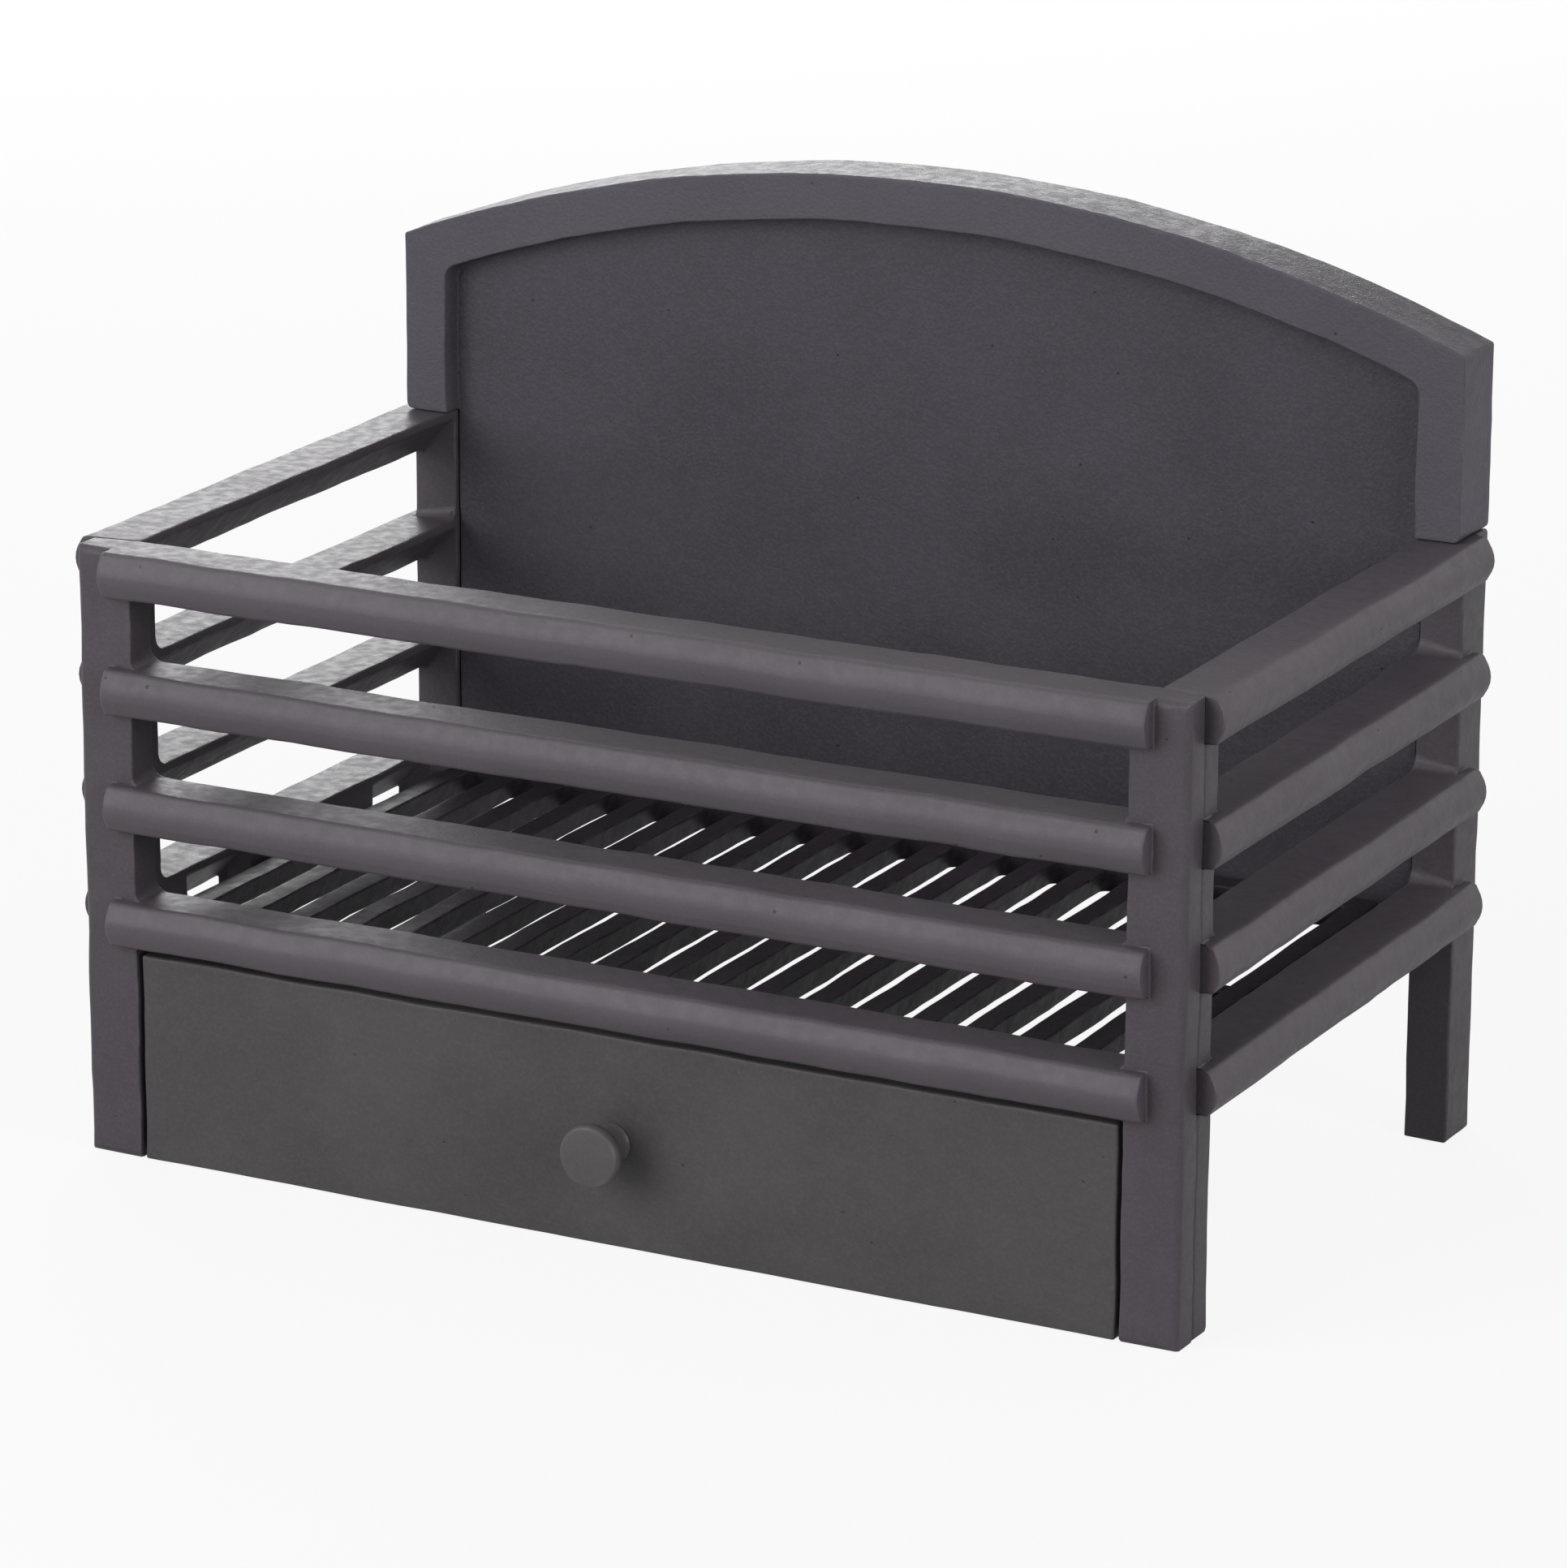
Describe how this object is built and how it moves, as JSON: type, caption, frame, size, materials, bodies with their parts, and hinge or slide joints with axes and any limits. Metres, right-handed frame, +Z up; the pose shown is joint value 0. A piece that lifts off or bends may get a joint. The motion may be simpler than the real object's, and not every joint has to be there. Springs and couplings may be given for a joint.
{
  "type": "log grate",
  "caption": "Free-standing cast-iron fire basket with barred front and sides, arched fireback, lift-out bottom grate and a loose ash cover with a knob.",
  "frame": {"origin": "on the floor, at the middle of the bounding box, in line with the knob", "axes": "+Z up, +X along the front panel to its right end as seen from the front, +Y from the front panel to the fireback"},
  "size_m": [0.4732, 0.2936, 0.3564],
  "materials": {
    "frame_iron": "dark grey stove paint over a fine sand-cast skin, satin",
    "fireback_iron": "dark grey stove paint over a sand-cast skin, matt",
    "grate_iron": "dark grey stove paint over a sand-cast skin, matt",
    "cover_iron": "dark grey stove paint over a fine sand-cast skin, satin",
    "black_steel": "black oxide, oiled"
  },
  "bodies": {
    "basket": {"front_panel": "frame_iron", "side_panel_left": "frame_iron", "side_panel_right": "frame_iron", "fireback": "fireback_iron", "frame_bolt_left_lower": "black_steel", "frame_washer_left_lower": "black_steel", "frame_bolt_left_upper": "black_steel", "frame_washer_left_upper": "black_steel", "frame_bolt_right_lower": "black_steel", "frame_washer_right_lower": "black_steel", "frame_bolt_right_upper": "black_steel", "frame_washer_right_upper": "black_steel", "fireback_bolt_left_lower": "black_steel", "fireback_washer_left_lower": "black_steel", "fireback_bolt_left_upper": "black_steel", "fireback_washer_left_upper": "black_steel", "fireback_bolt_right_lower": "black_steel", "fireback_washer_right_lower": "black_steel", "fireback_bolt_right_upper": "black_steel", "fireback_washer_right_upper": "black_steel"},
    "grate": {"bottom_grate": "grate_iron"},
    "cover": {"ash_cover": "cover_iron", "knob": "cover_iron", "knob_screw": "black_steel", "knob_washer": "black_steel"}
  },
  "joints": [
    {"name": "grate_lift", "type": "slide", "parent": "basket", "child": "grate", "axis": [0, 0, 1], "range_m": [0, 0.16]},
    {"name": "cover_slide", "type": "slide", "parent": "basket", "child": "cover", "axis": [0, -1, 0], "range_m": [0, 0.12]}
  ]
}
